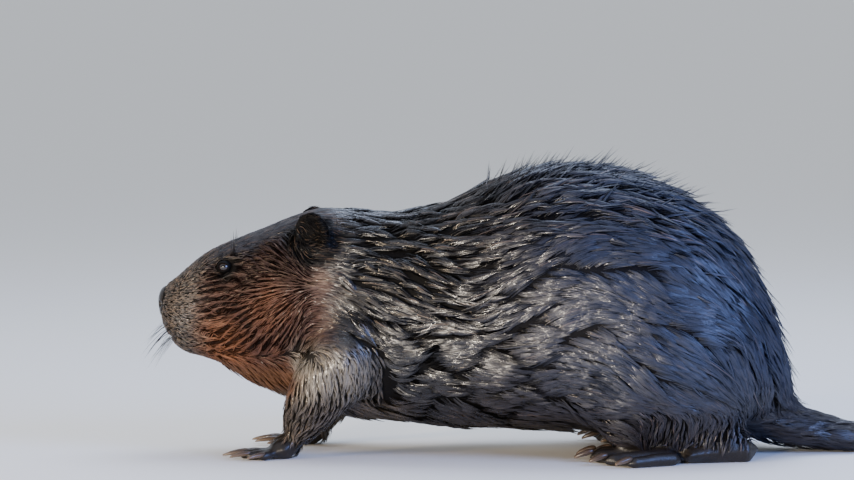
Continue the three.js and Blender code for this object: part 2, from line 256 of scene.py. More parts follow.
points = points_of(skin)
spare = ramp(behind(points), 165, 200) * (1 - foot_share(points)) * (1 - paddle_share(points))
weigh(skin, "spare", spare)
apply_modifier(skin, "DECIMATE", ratio=KEPT_SHARE, vertex_group="spare", use_collapse_triangulate=True)
print("skin after thinning:", len(skin.data.polygons), "faces")

# %% [markdown]
# ## Eyelids, nostrils and mouth
# An eye looks alive when lids wrap the ball, so the skin round each eye is split finer and moved on to a
# shell just over the eyeball, with an oval opening in it. Separate rings for lids would be simpler, but would
# show a seam. Nostrils and the line of the mouth are pressed in by moves that fade with distance.

# %% Split the skin finer where it needs detail
def split_finer(piece, centre, radius):
    choose(piece)
    near = np.linalg.norm(middles_of(piece) - centre, axis=1) < radius * MM
    bpy.ops.object.mode_set(mode="EDIT")
    bpy.ops.mesh.select_mode(type="FACE")
    bpy.ops.mesh.select_all(action="DESELECT")
    bpy.ops.object.mode_set(mode="OBJECT")
    piece.data.polygons.foreach_set("select", near)
    bpy.ops.object.mode_set(mode="EDIT")
    bpy.ops.mesh.subdivide(number_cuts=1)
    bpy.ops.object.mode_set(mode="OBJECT")


for side in SIDES:
    split_finer(skin, EYES[side], 17)
    split_finer(skin, EYES[side], 11)
    split_finer(skin, EARS[side], 26)
split_finer(skin, centre_of("nose"), 22)
print("skin with fine places:", len(skin.data.polygons), "faces")

# %% Wrap lids round the eyes
EYE_RADIUS = 6.0
LID_THICKNESS = 0.9
EYE_OPENING = (5.0, 3.7)
LID_REACH = 2.3


def eye_axes(side):
    out = unit(np.array([-0.22, SIDES[side], 0.12]))
    rear = np.array([1.0, 0.0, -0.12])
    rear = unit(rear - out * rear.dot(out))
    up = np.cross(rear, out) * SIDES[side]
    return rear, up * np.sign(up[2]), out


def wrap_lids(points, side):
    rear, up, out = eye_axes(side)
    from_eye = (points - EYES[side]) / MM
    across, rise, proud = from_eye @ rear, from_eye @ up, from_eye @ out
    oval = np.hypot(across / EYE_OPENING[0], rise / EYE_OPENING[1])
    shell = np.sqrt(np.maximum((EYE_RADIUS + LID_THICKNESS) ** 2 - across**2 - rise**2, 0))
    lid = fall(oval, 1.3, LID_REACH)
    wanted = np.where(oval < 0.92, -3.0, proud + (np.maximum(shell, proud) - proud) * lid)
    wanted = wanted + 0.2 * np.exp(-(((oval - 1.12) / 0.14) ** 2))
    wanted -= 0.4 * np.exp(-(((oval - 1.62) / 0.14) ** 2)) * (rise > -6)
    near = (oval < LID_REACH) & (proud > -8)
    return points + np.where(near, wanted - proud, 0)[:, None] * MM * out


points = points_of(skin)
for side in SIDES:
    points = wrap_lids(points, side)
move_points(skin, points)

# %% Press in the nostrils, the cleft lip and the mouth
NOSTRIL = {"back": 5.0, "out": 11.5, "up": 141.5}
MOUTH = np.array([[-6, 112], [14, 110.5], [34, 109], [50, 103], [60, 94]])
MOUTH_DEPTH, MOUTH_WIDTH = 2.4, 1.7
CLEFT_DEPTH, CLEFT_WIDTH = 1.3, 1.3


def press(points, centre, radii, depth):
    gone = np.linalg.norm((points - centre) / (np.array(radii) * MM), axis=1)
    return depth * MM * np.exp(-(gone**2))


def distance_to_line(flat_points, line):
    best = np.full(len(flat_points), 1e9)
    for start, end in zip(line[:-1], line[1:]):
        way = end - start
        share = np.clip(((flat_points - start) @ way) / (way @ way), 0, 1)
        best = np.minimum(best, np.linalg.norm(flat_points - start - share[:, None] * way, axis=1))
    return best


points = points_of(skin)
normals = normals_of(skin)
inward = np.zeros(len(points))
for side, sign in SIDES.items():
    hole = np.array([NOSE_TIP + NOSTRIL["back"] * MM, sign * NOSTRIL["out"] * MM, NOSTRIL["up"] * MM])
    inward += press(points, hole, (3.6, 3.2, 2.6), 6.5)
    inward -= press(points, hole + np.array([-1, sign * 0.5, 3.6]) * MM, (3.5, 4.0, 1.6), 0.9)
    inward += press(points, hole + np.array([5.0, 0, 2.5]) * MM, (4, 3, 1.5), 1.2)
flat_points = np.column_stack([behind(points), height(points)])
near_mouth = distance_to_line(flat_points, MOUTH)
inward += MOUTH_DEPTH * MM * np.exp(-((near_mouth / MOUTH_WIDTH) ** 2)) * (behind(points) < 75)
cleft = np.exp(-((points[:, 1] / (CLEFT_WIDTH * MM)) ** 2)) * ramp(-height(points), -141, -134)
cleft *= (height(points) > 111) * (behind(points) < 16)
inward += CLEFT_DEPTH * MM * cleft
move_points(skin, points - normals * inward[:, None])
skin.vertex_groups.clear()
points = points_of(skin)
weigh(skin, "lips", (behind(points) < 80) * 0.6)
apply_modifier(skin, "SMOOTH", factor=0.5, iterations=1, vertex_group="lips")
apply_modifier(skin, "TRIANGULATE")
skin.vertex_groups.clear()
print("skin:", len(skin.data.polygons), "triangles")

# %% Unwrap the skin, for the map that skin and coat share
choose(skin)
bpy.ops.object.mode_set(mode="EDIT")
bpy.ops.mesh.select_all(action="SELECT")
bpy.ops.uv.smart_project(angle_limit=math.radians(66), island_margin=0.004)
bpy.ops.object.mode_set(mode="OBJECT")
skin.data.uv_layers[0].name = "OFBake"
shade_smooth(skin)
print("skin unwrapped")

# %% [markdown]
# ## Colours and nodes
# Hex colours are how a person reads a colour off a swatch, but a shader wants linear light, so one function
# turns one into the other. Another adds a node and feeds its inputs in a single call. Writing every link on a
# line of its own would be the other way, and three times as long.

# %% Helpers for materials
def colour(swatch):
    values = [int(swatch[i : i + 2], 16) / 255 for i in (1, 3, 5)]
    linear = [v / 12.92 if v <= 0.04045 else ((v + 0.055) / 1.055) ** 2.4 for v in values]
    return (*linear, 1.0)


def feed(tree, socket, value):
    """Links a socket to another one, or sets it to a number, a vector or a hex colour."""
    if hasattr(value, "is_output"):
        tree.links.new(value, socket)
    else:
        socket.default_value = colour(value) if isinstance(value, str) else value


def add(tree, kind, inputs=None, **settings):
    made = tree.nodes.new(kind)
    for key, value in settings.items():
        setattr(made, key, value)
    for key, value in (inputs or {}).items():
        feed(tree, made.inputs[key], value)
    return made


def start_material(name):
    material = bpy.data.materials.new(name)
    material.use_nodes = True
    tree = material.node_tree
    tree.nodes.clear()
    shader = add(tree, "ShaderNodeBsdfPrincipled")
    add(tree, "ShaderNodeOutputMaterial", {"Surface": shader.outputs[0]})
    return material, tree, shader


def finish_shader(tree, shader, **values):
    for key, value in values.items():
        feed(tree, shader.inputs[key.replace("_", " ")], value)


def place_on_animal(tree):
    return add(tree, "ShaderNodeTexCoord").outputs["Object"]


def attribute(tree, name, output="Fac"):
    return add(tree, "ShaderNodeAttribute", attribute_name=name).outputs[output]


def sum_of(tree, operation, first, second):
    return add(tree, "ShaderNodeMath", {0: first, 1: second}, operation=operation).outputs[0]


def times(tree, *factors):
    product = factors[0]
    for factor in factors[1:]:
        product = sum_of(tree, "MULTIPLY", product, factor)
    return product


def rest_of(tree, share):
    return sum_of(tree, "SUBTRACT", 1.0, share)


def soft_step(tree, value, start, end):
    inputs = {"Value": value, "From Min": start, "From Max": end}
    return add(tree, "ShaderNodeMapRange", inputs, interpolation_type="SMOOTHSTEP").outputs["Result"]


def spread_over(tree, value, low, high):
    return add(tree, "ShaderNodeMapRange", {"Value": value, "To Min": low, "To Max": high}).outputs["Result"]


def blend_colour(tree, share, under, over):
    made = add(tree, "ShaderNodeMix", data_type="RGBA")
    for name, value in (("Factor", share), ("A", under), ("B", over)):
        feed(tree, next(s for s in made.inputs if s.name == name and s.enabled), value)
    return next(s for s in made.outputs if s.enabled)


def lay_over(tree, ground, *coats):
    """Lays colours one over another, each by its share."""
    for share, tone in coats:
        ground = blend_colour(tree, share, ground, tone)
    return ground


def noise(tree, vector, size, detail=3.0):
    inputs = {"Vector": vector, "Scale": 1 / (size * MM), "Detail": detail}
    return add(tree, "ShaderNodeTexNoise", inputs).outputs["Fac"]


def bump(tree, height_source, strength, distance):
    inputs = {"Height": height_source, "Strength": strength, "Distance": distance * MM}
    return add(tree, "ShaderNodeBump", inputs).outputs["Normal"]


# %% [markdown]
# ## The beaver's markings
# The coat is near black, with a brown cast on the flanks. Its blue cast on the rump and blue-grey on the
# crown are painted sheen, the reflection of the cool lamps in wet hair. It is red-brown on cheeks and throat
# and grey-brown on the muzzle. The pale grey of the forelegs is painted sheen of low light on their wet hair.
# One tuft under the ear is pale brown with a painted highlight on it, and the black of the ear spreads round
# it as painted shade of the hollow behind. Each mark is a soft spot or a soft step in place, broken up by
# noise. They are worked out from where a point is on the animal, so skin and hair agree wherever they meet. A
# painted map would be the other way, but every hair would have to look its colour up in it.

# %% Markings as a function of place
CROWN_SLOPE = 0.45
CROWN_HEIGHT = (0.143, 0.160)
JITTER_SIZE = 22


def at(back, out, up):
    return Vector((NOSE_TIP + back * MM, out * MM, up * MM))


def markings(tree):
    place = place_on_animal(tree)
    jitter = add(tree, "ShaderNodeTexNoise", {"Vector": place, "Scale": 45.0, "Detail": 2.0}).outputs["Color"]
    centred = add(tree, "ShaderNodeVectorMath", {0: jitter, 1: (0.5,) * 3}, operation="SUBTRACT").outputs[0]
    inputs = {0: centred, 1: (JITTER_SIZE * MM,) * 3, 2: place}
    shifted = add(tree, "ShaderNodeVectorMath", inputs, operation="MULTIPLY_ADD").outputs[0]
    half = add(tree, "ShaderNodeSeparateXYZ", {"Vector": shifted})
    x, z = half.outputs["X"], half.outputs["Z"]
    y = sum_of(tree, "ABSOLUTE", half.outputs["Y"], 0.0)
    folded = add(tree, "ShaderNodeCombineXYZ", {"X": x, "Y": y, "Z": z}).outputs[0]

    def spot(centre, inner, outer):
        gone = add(tree, "ShaderNodeVectorMath", {0: folded, 1: at(*centre)}, operation="DISTANCE")
        return soft_step(tree, gone.outputs["Value"], outer * MM, inner * MM)

    def step_back(start, end):
        return soft_step(tree, x, NOSE_TIP + start * MM, NOSE_TIP + end * MM)

    def step_up(start, end):
        return soft_step(tree, z, start * MM, end * MM)

    rear = step_back(290, 440)
    low = step_up(90, 30)
    neck = step_back(330, 240)
    slope = sum_of(tree, "ADD", times(tree, x, -CROWN_SLOPE), z)
    top = soft_step(tree, slope, *(level - CROWN_SLOPE * NOSE_TIP for level in CROWN_HEIGHT))
    head = step_back(178, 142)
    snout = step_back(56, 26)
    arm = times(tree, step_up(120, 88), step_back(120, 134), step_back(226, 180))
    wrist = times(tree, step_up(66, 46), step_back(96, 106), step_back(250, 220))
    throat = times(tree, step_up(92, 74), step_back(30, 60), step_back(146, 124))
    # the ear is black; the spot reaches past it as painted shade of the hollow behind the ear
    ear = spot((150, 56, 208), 25, 36)
    body = lay_over(
        tree,
        blend_colour(tree, noise(tree, place, 60), "#1e1f25", "#292422"),
        # painted reflection: the blue on the rump stands for the cool lamps' sheen on wet hair
        (times(tree, rear, 0.85), "#242c40"),
        (times(tree, low, 0.6), "#27211e"),
        (times(tree, neck, 0.6), "#17181c"),
    )
    cheek = lay_over(
        tree,
        blend_colour(tree, noise(tree, place, 9), "#321f18", "#523226"),
        (times(tree, step_up(140, 186), 0.7), "#241a18"),
        (spot((62, 34, 104), 10, 42), "#744a31"),
        (spot((110, 62, 142), 8, 34), "#5e3a28"),
        # painted reflection: the blue-grey on the crown stands for the cool lamps' sheen on top of the head
        (top, "#23242c"),
    )
    tone = lay_over(
        tree,
        body,
        (head, cheek),
        # painted sheen: the pale grey of the foreleg stands for low light glinting on wet hair
        (arm, "#6f6960"),
        (throat, "#5c3f2d"),
        (wrist, "#4b443e"),
        # tuft under the ear: pale brown hair, lightened further as a painted highlight where light catches it
        (spot((154, 66, 167), 5, 17), "#5a4538"),
        (snout, "#332e29"),
        (spot((66, 34, 178), 8, 19), "#120e0d"),
        (ear, "#09090a"),
    )
    dull = times(tree, head, rest_of(tree, times(tree, top, 0.7)), rest_of(tree, arm))
    dull = sum_of(tree, "MAXIMUM", dull, times(tree, ear, 1.4))
    return tone, place, dull, rear, snout


# %% Materials for the skin
# Wet skin under fur: darkened nearly to black as painted shade of the coat over it, dull, with a trace of the
# marks of the hair over it.
def furred_skin():
    material, tree, shader = start_material("wet_furred_skin")
    tone, place, *_ = markings(tree)
    # painted shade: the skin under the coat is darkened nearly to black
    painted_shade = blend_colour(tree, 0.92, tone, "#060505")
    grain = bump(tree, noise(tree, place, 1.6), 0.6, 0.6)
    finish_shader(
        tree, shader, Base_Color=painted_shade, Roughness=0.65, IOR=1.45, Specular_IOR_Level=0.12, Normal=grain
    )
    return material


# Bare skin of nose, feet and tail: leathery, with pebbles of 1.3 mm, and damp.
def bare_skin():
    material, tree, shader = start_material("damp_pebbled_skin")
    place = place_on_animal(tree)
    inputs = {"Vector": place, "Scale": 1 / (1.3 * MM)}
    pebbles = add(tree, "ShaderNodeTexVoronoi", inputs, feature="SMOOTH_F1").outputs["Distance"]
    tone = blend_colour(tree, noise(tree, place, 8), "#100e0e", "#221d1b")
    rough = spread_over(tree, pebbles, 0.3, 0.6)
    finish_shader(
        tree, shader, Base_Color=tone, Roughness=rough, IOR=1.45, Normal=bump(tree, pebbles, 0.5, 0.4)
    )
    return material


FURRED_SKIN, BARE_SKIN = furred_skin(), bare_skin()
for material in (FURRED_SKIN, BARE_SKIN):
    skin.data.materials.append(material)
middles = middles_of(skin)
bare = np.max([foot_share(middles), nose_share(middles), paddle_share(middles)], axis=0) > 0.5
skin.data.polygons.foreach_set("material_index", bare.astype(np.int32))
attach(skin, "root")
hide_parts(*FLESH)

# %% [markdown]
# ## The lie of the coat
# A wet beaver's long guard hairs cling together in broad tongues that lie along the body and overlap like
# shingles. Hair systems can't be exported, so every hair is a thin closed sliver, and the slivers are laid
# out with arrays, since no one could place tens of thousands by hand. First comes the field that says which
# way hair lies: back along the trunk, down the rump, throat and legs, and in rays over the cheek towards a
# point under the ear.

# %% The skin as a surface to root hair on
class Surface:
    """The triangles of a mesh, for picking places on it and for finding the nearest one."""

    def __init__(self, piece):
        mesh = piece.data
        mesh.calc_loop_triangles()
        self.corners = read(mesh.loop_triangles, "vertices", kind=np.int32)
        loops = read(mesh.loop_triangles, "loops", kind=np.int32)
        self.points, self.normals = points_of(piece), normals_of(piece)
        self.flat_map = read(mesh.uv_layers["OFBake"].data, "uv", 2)[loops]
        a, b, c = (self.points[self.corners[:, k]] for k in range(3))
        self.areas = np.linalg.norm(np.cross(b - a, c - a), axis=1) / 2 / MM**2
        self.middles = (a + b + c) / 3
        self.tree = BVHTree.FromPolygons(self.points.tolist(), self.corners.tolist())

    def pick(self, density, draw):
        chances = self.areas * density
        count = int(chances.sum())
        triangle = draw.choice(len(chances), count, p=chances / chances.sum())
        share = draw.dirichlet((1, 1, 1), count)[:, :, None]
        corner = self.corners[triangle]
        places = (self.points[corner] * share).sum(axis=1)
        return places, (self.flat_map[triangle] * share).sum(axis=1)

    def map_at(self, places):
        corner = [self.tree.find_nearest(place)[2] for place in places.tolist()]
        return self.flat_map[corner].mean(axis=1)

    def nearest(self, places):
        hits = [self.tree.find_nearest(place) for place in places.tolist()]
        at_skin = np.array([hit[0] for hit in hits])
        corner = self.corners[[hit[2] for hit in hits]]
        weights = 1 / (np.linalg.norm(self.points[corner] - at_skin[:, None], axis=2) + 1e-5)
        return at_skin, unit((self.normals[corner] * weights[:, :, None]).sum(axis=1))


def keep_apart(places, spacing):
    """Says which places to keep so that the kept ones are at least their spacing apart."""
    tree = KDTree(len(places))
    for i, place in enumerate(places.tolist()):
        tree.insert(place, i)
    tree.balance()
    kept = np.ones(len(places), bool)
    for i, place in enumerate(places.tolist()):
        if kept[i]:
            for _, other, _ in tree.find_range(place, spacing[i] * MM):
                if other > i:
                    kept[other] = False
    return kept


surface = Surface(skin)
print("skin area:", round(surface.areas.sum() / 1e6, 3), "m2")

# %% Shares of the skin with a lie of their own
CHEEK_POINT = {"back": 150, "up": 161}
WAVES = 9


def waves(places, size, seed):
    """Smooth noise of about -1 to 1 that changes over `size` millimetres."""
    draw = np.random.default_rng(seed)
    heading = unit(draw.normal(size=(WAVES, 3))) * draw.uniform(0.6, 1.6, (WAVES, 1))
    heading = heading * math.tau / (size * 2.2 * MM)
    crests = np.sin(places @ heading.T + draw.uniform(0, math.tau, WAVES))
    return crests.sum(axis=1) / math.sqrt(WAVES / 2) / 1.6


def mix(field, share, way):
    return field * (1 - share[:, None]) + np.array(way, float) * share[:, None]


def crown_share(places):
    return ramp(height(places) - CROWN_SLOPE * behind(places), 148, 162)


def cheek_share(places):
    back = behind(places)
    share = ramp(back, 20, 40) * fall(back, 134, 152) * (1 - crown_share(places))
    return share * ramp(height(places), 84, 104) * ramp(outward(places), 8, 22)


def throat_share(places):
    back = behind(places)
    return fall(height(places), 70, 100) * ramp(back, 34, 64) * fall(back, 150, 190)


def neck_share(places):
    back, up = behind(places), height(places)
    return ramp(back, 146, 176) * fall(back, 262, 320) * ramp(up + 0.25 * back, 170, 215)


def back_share(places):
    """The top of the back, where locks are narrow and their tips stand up."""
    back = behind(places)
    return ramp(back, 240, 310) * ramp(height(places), 196, 226) * fall(back, 540, 590)


def foreleg_share(places):
    low = inside(places, ["fore_leg"], 8) * fall(height(places), 78, 116)
    return low * ramp(outward(places), 50, 64)


def shank_share(places):
    low = fall(height(places), 36, 58) * ramp(behind(places), 430, 470)
    return low * ramp(outward(places), 50, 64) * fall(outward(places), 142, 152)


# %% The field of the hair
def flow(places, normals):
    """The way hair lies at each place, along the skin."""
    back, up = behind(places), height(places)
    to_cheek_point = np.array([NOSE_TIP + CHEEK_POINT["back"] * MM, 0, CHEEK_POINT["up"] * MM]) - places
    to_cheek_point[:, 1] = 0
    from_nose = unit((places - centre_of("nose")) * np.array([0.4, 1, 1])) + np.array([0.5, 0, 0])
    flank = ramp(back, 190, 250) * fall(back, 380, 450) * fall(up, 190, 220)
    shoulder = ramp(back, 150, 172) * fall(back, 205, 245) * fall(up, 150, 178)
    foreleg = foreleg_share(places)
    ways = [
        (flank, (1, 0, 0.24)),
        (ramp(back, 360, 470) * ramp(up, 30, 80), (0.86, 0, -0.42)),  # hip
        (ramp(back, 480, 590) * ramp(up, 25, 70), (0.5, 0, -0.95)),  # rump
        (neck_share(places) * fall(up, 210, 232), (0.9, 0, -0.36)),
        (shoulder, (0.85, 0, -0.5)),
        (cheek_share(places), unit(to_cheek_point)),
        (throat_share(places), (0.42, 0, -0.95)),
        (fall(back, 14, 34), from_nose),
        (foreleg, (0.1, 0, -1)),
        (foreleg * fall(up, 40, 70), (-0.5, 0, -0.9)),
        (shank_share(places), (-0.25, 0, -0.9)),
        (ramp(back, 598, 615), (1.0, 0.3, -0.1)),  # root of the tail
    ]
    field = np.tile([1.0, 0.0, 0.0], (len(places), 1))
    for share, way in ways:
        field = mix(field, share, way)
    return unit(field - normals * (field * normals).sum(axis=1, keepdims=True))


def turned(vectors, normals, angle):
    angle = angle[:, None]
    return vectors * np.cos(angle) + np.cross(normals, vectors) * np.sin(angle)


# %% [markdown]
# ## Locks
# One lock is a bunch of hairs that start side by side and run together to a tip. Its middle line walks over
# the skin along the field, in small steps that are set back on the skin each time. Its hairs are then laid on
# that line at their own places across, arched so that the lock is smooth on top and falls away into a parting
# at its edges, where the hairs are darkened as painted shade. Behind the head, locks share larger plates,
# each turned and raised a little by itself.
# On the cheeks hairs gather in narrow lanes instead, which run in rays to the point under the ear.

# %% Part the trunk's coat into plates
PLATE_COUNT = 270
PLATE_TURN = math.radians(18)
PLATE_LENGTH = 30
PLATE_STRETCH = 2.1
PARTING_WIDTH = 6.0
PARTING_PULL = 2.4
REAR_CALM = 0.6
PLATE_SPACING = 27.0
CHUNK = 4000  # places handled at once, to spare memory

plate_draw = np.random.default_rng(4)
trunk = np.where(behind(surface.middles) > 150, 1.0, 0.0)
plate_spots, _ = surface.pick(trunk * PLATE_COUNT * 3 / (surface.areas * trunk).sum(), plate_draw)
plate_spots = plate_spots[keep_apart(plate_spots, np.full(len(plate_spots), PLATE_SPACING))]
plate_turns = plate_draw.uniform(-1, 1, len(plate_spots)) * PLATE_TURN
plate_lifts = plate_draw.uniform(-1, 1, len(plate_spots))
print("plates:", len(plate_spots))


def plate_facts(places, headings, normals):
    """For each place: its plate's turn, how high hair lies, how near a parting it is, and the pull off it."""
    bent = places + 7 * MM * np.column_stack([waves(places, 24, seed) for seed in (11, 12, 13)])
    turn, level, parting, pull = (np.empty(len(places)) for _ in range(4))
    for first in range(0, len(places), CHUNK):
        part = slice(first, first + CHUNK)
        apart = (bent[part, None] - plate_spots[None]) / MM
        along = (apart * headings[part, None]).sum(axis=2)
        across = (apart * np.cross(normals[part], headings[part])[:, None]).sum(axis=2)
        far = np.sqrt((apart**2).sum(axis=2) - along**2 * (1 - 1 / PLATE_STRETCH**2))
        order = np.argpartition(far, 1, axis=1)[:, :2]
        calm = 1 - REAR_CALM * ramp(behind(bent[part]), 300, 430)
        row = np.arange(len(order))
        nearer = far[row, order[:, 0]] <= far[row, order[:, 1]]
        own = np.where(nearer, order[:, 0], order[:, 1])
        other = np.where(nearer, order[:, 1], order[:, 0])
        width = PARTING_WIDTH * (0.4 + 0.6 * calm)
        edge = calm * np.exp(-(((far[row, other] - far[row, own]) / width) ** 2))
        rearward = np.clip(0.5 + along[row, own] / (2 * PLATE_LENGTH), 0, 1)
        turn[part] = plate_turns[own] - np.clip(across[row, own] / 60, -0.4, 0.4) * rearward
        turn[part] *= 0.4 + 0.6 * calm
        level[part] = 0.34 + 0.5 * rearward + 0.14 * plate_lifts[own] - 0.42 * edge * (1 - 0.7 * rearward)
        parting[part] = edge * (1 - 0.6 * rearward)
        pull[part] = -np.sign(across[row, own]) * edge * PARTING_PULL
    return turn, np.clip(level, 0.03, 1), parting, pull


# %% Walk the middle lines of locks
WALK_STEPS = 7


def walk(places, lengths, turn, plate_share):
    """Middle lines over the skin: places, normals and sideways, locks x steps x 3, and the plates' facts."""
    at_skin, normals = surface.nearest(places)
    plate_turn, *facts = plate_facts(at_skin, flow(at_skin, normals), normals)
    turn = turn + plate_turn * plate_share
    lines, ups, sides = [], [], []
    for _ in range(WALK_STEPS + 1):
        heading = turned(flow(at_skin, normals), normals, turn)
        lines.append(at_skin)
        ups.append(normals)
        sides.append(np.cross(normals, heading))
        at_skin, normals = surface.nearest(at_skin + heading * lengths[:, None] * MM / WALK_STEPS)
    return np.stack(lines, 1), np.stack(ups, 1), np.stack(sides, 1), *facts


def sample(lines, share):
    """Values of locks x steps x 3 at locks x hairs shares from 0 to 1."""
    step = np.clip(share * WALK_STEPS, 0, WALK_STEPS - 1e-6)
    low = step.astype(int)
    part = (step - low)[..., None]
    lock = np.arange(len(lines))[:, None]
    return lines[lock, low] * (1 - part) + lines[lock, low + 1] * part


# %% Gather cheek hairs in lanes
LANE_ANGLE = 0.085
LANE_PULL = 0.5
LANE_REACH = 1.5
LANE_RIDGE = 2.0


def lanes(places):
    """How far across its lane each place is (-0.5 to 0.5), the lane's width and how strongly hairs gather."""
    shape = places.shape[:-1]
    flat = places.reshape(-1, 3)
    rearward = CHEEK_POINT["back"] - behind(flat) + 6
    upward = height(flat) - CHEEK_POINT["up"]
    reach = np.hypot(rearward, upward)
    angle = np.arctan2(upward, rearward) + 0.05 * waves(flat, 22, 31) + 0.02 * waves(flat, 9, 32)
    lane = angle / LANE_ANGLE
    strength = cheek_share(flat) * ramp(behind(flat), 28, 52)
    return (
        (lane - np.round(lane)).reshape(shape),
        (reach * LANE_ANGLE).reshape(shape),
        strength.reshape(shape),
    )


def gather(rings, sides, ups):
    """Pulls hairs to the middles of their lanes and lifts them; says how deep in a parting each one is, for
    painted shade.
    """
    across, width, strength = lanes(rings)
    share = np.linspace(0.2, 1, rings.shape[2])
    pull = -across * width * LANE_PULL * strength * share
    rise = LANE_RIDGE * np.cos(across * math.pi) ** 2 * strength * np.minimum(width / 4, 1) * share
    pull = np.clip(pull, -LANE_REACH, LANE_REACH)
    moved = rings + sides * (pull * MM)[..., None] + ups * (rise * MM)[..., None]
    return moved, (np.abs(across[:, :, 0]) * 2) ** 1.3 * strength[:, :, 0] * 1.1


# %% The shape of a single hair
RINGS = np.array([0.0, 0.34, 0.7, 1.0])
TAPER = np.array([0.8, 1.0, 0.72, 0.0])
UV_PATCH = 0.003
FILM_RELIEF = 0.45
FILM_BOW = 0.17
FLOOR_CLEARANCE = 0.5
SIDES_OF_HAIR = np.array([[-1.0, 0.0], [0.0, 0.9], [1.0, 0.0]])


def hair_faces():
    faces = [(0, 1, 2)]
    for ring in range(len(RINGS) - 2):
        for k in range(3):
            a, b = 3 * ring + k, 3 * ring + (k + 1) % 3
            faces += [(a, a + 3, b), (b, a + 3, b + 3)]
    last, tip = 3 * (len(RINGS) - 2), 3 * (len(RINGS) - 1)
    faces += [(last + k, tip, last + (k + 1) % 3) for k in range(3)]
    return np.array(faces)


HAIR_FACES = hair_faces()
HAIR_POINTS = 3 * (len(RINGS) - 1) + 1
print("one hair:", HAIR_POINTS, "points,", len(HAIR_FACES), "triangles")


# %% Comb locks into hairs
def comb(places, root_map, kind, draw):
    """Builds the hairs of the locks at those places. A measure in kind is one number, or one per lock."""
    count, hairs = len(places), kind["hairs"]

    def per_lock(key):
        return np.broadcast_to(np.asarray(kind[key], float), (count,))

    size = draw.uniform(0.78, 1.22, count)
    length = per_lock("length") * size
    width = per_lock("width") * draw.uniform(0.75, 1.25, count)
    depth, arch, thick, plates = (per_lock(key) for key in ("depth", "arch", "thick", "plates"))
    reach = kind["reach"]
    turn = per_lock("turn") * draw.normal(size=count)
    lines, ups, sides, level, parting, pull = walk(places, length, turn, plates)
    depth = depth * (1 - plates + plates * level / 0.62)
    spread = np.linspace(-1, 1, hairs) + draw.uniform(-0.6, 0.6, (count, hairs)) / hairs
    start = (1 - reach) * np.sqrt(draw.uniform(size=(count, hairs)))
    end = np.minimum(start + reach * draw.uniform(0.85, 1.1, (count, hairs)), 1 - 0.22 * spread**2)
    lift = (depth * kind["uneven"] * draw.normal(size=count))[:, None]
    wander = draw.normal(size=(count, hairs)) * kind["stray"]
    ruffle = draw.uniform(0, kind["ruffle"], (count, hairs))
    stand = per_lock("stand")[:, None] * draw.uniform(0.2, 1.4, (count, 1))
    rings = []
    for share in RINGS:
        t = start + (end - start) * share
        line, up, side = (sample(values, t) for values in (lines, ups, sides))
        pointed = 1 - (1 - kind["point"]) * (np.maximum(t - 0.45, 0) / 0.55) ** 1.6
        narrow = np.where(t < 0.45, 0.9 + 0.1 * t / 0.45, pointed)
        loose = min(share * 2, 1)
        out = (spread + wander * share) * narrow * width[:, None] / 2 + (pull * plates)[:, None] * loose
        high = depth[:, None] * (0.35 + 0.65 * np.minimum(t / 0.75, 1)) + lift * loose + ruffle * share
        high = high + arch[:, None] * (1 - np.abs(spread) ** kind["flat"]) * narrow + stand * t**2 * share
        high = np.maximum(high, 0.3) if share > 0 else np.full_like(high, -0.5)
        rings.append(line + side * (out * MM)[..., None] + up * (high * MM)[..., None])
    rings = np.stack(rings, 2)
    middle = (start + end) / 2
    ups_of_hair, sides_of_hair = sample(ups, middle), sample(sides, middle)
    edge = np.abs(spread) ** kind["flat"] * kind["edge"]
    if kind["lanes"]:
        rings, edge = gather(rings, sides_of_hair[:, :, None], ups_of_hair[:, :, None])
    edge = np.maximum(edge, (parting * plates)[:, None])
    # tone falls at lock edges and in partings as painted shade; the random part is the hair's own colour
    tone = 0.6 - 0.7 * edge + draw.normal(size=(count, 1)) * 0.05
    tone = tone + draw.normal(size=(count, hairs)) * per_lock("mottle")[:, None]
    sway = 0.13 * waves(lines[:, 0], 9, 41) + 0.08 * draw.normal(size=count)
    roll = spread * kind["roll"] + (sway - pull * plates * 0.16)[:, None]
    pitch = 0.1 * waves(lines[:, 0], 12, 42) + 0.07 * draw.normal(size=count)
    forward = np.cross(sides_of_hair, ups_of_hair) * pitch[:, None, None]
    smooth = unit(ups_of_hair + sides_of_hair * roll[..., None] + forward)
    return assemble(rings, smooth, thick, tone, root_map, lines[:, 0], draw)


